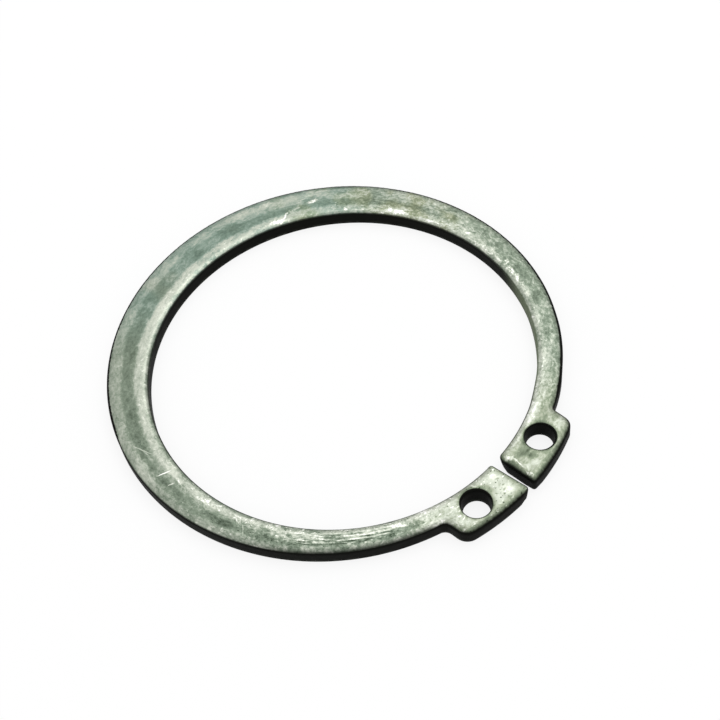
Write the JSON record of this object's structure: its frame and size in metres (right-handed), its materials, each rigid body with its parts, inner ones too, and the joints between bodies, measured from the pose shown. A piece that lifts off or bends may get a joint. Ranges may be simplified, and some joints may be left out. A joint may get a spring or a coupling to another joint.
{
  "type": "external retaining ring",
  "caption": "External retaining ring of spring steel: an open, tapered flat ring whose lugs take plier tips, sprung into a shaft groove to hold parts in place.",
  "frame": {"origin": "on the axis of the ring's bore, level with its underside", "axes": "+Z along the bore axis, out of the upper face; -Y through the middle of the gap; +Y towards the widest part of the beam"},
  "size_m": [0.0452, 0.0475, 0.0018],
  "materials": {
    "spring_steel": "satin"
  },
  "bodies": {
    "root": {"retaining_ring": "spring_steel"}
  },
  "joints": []
}
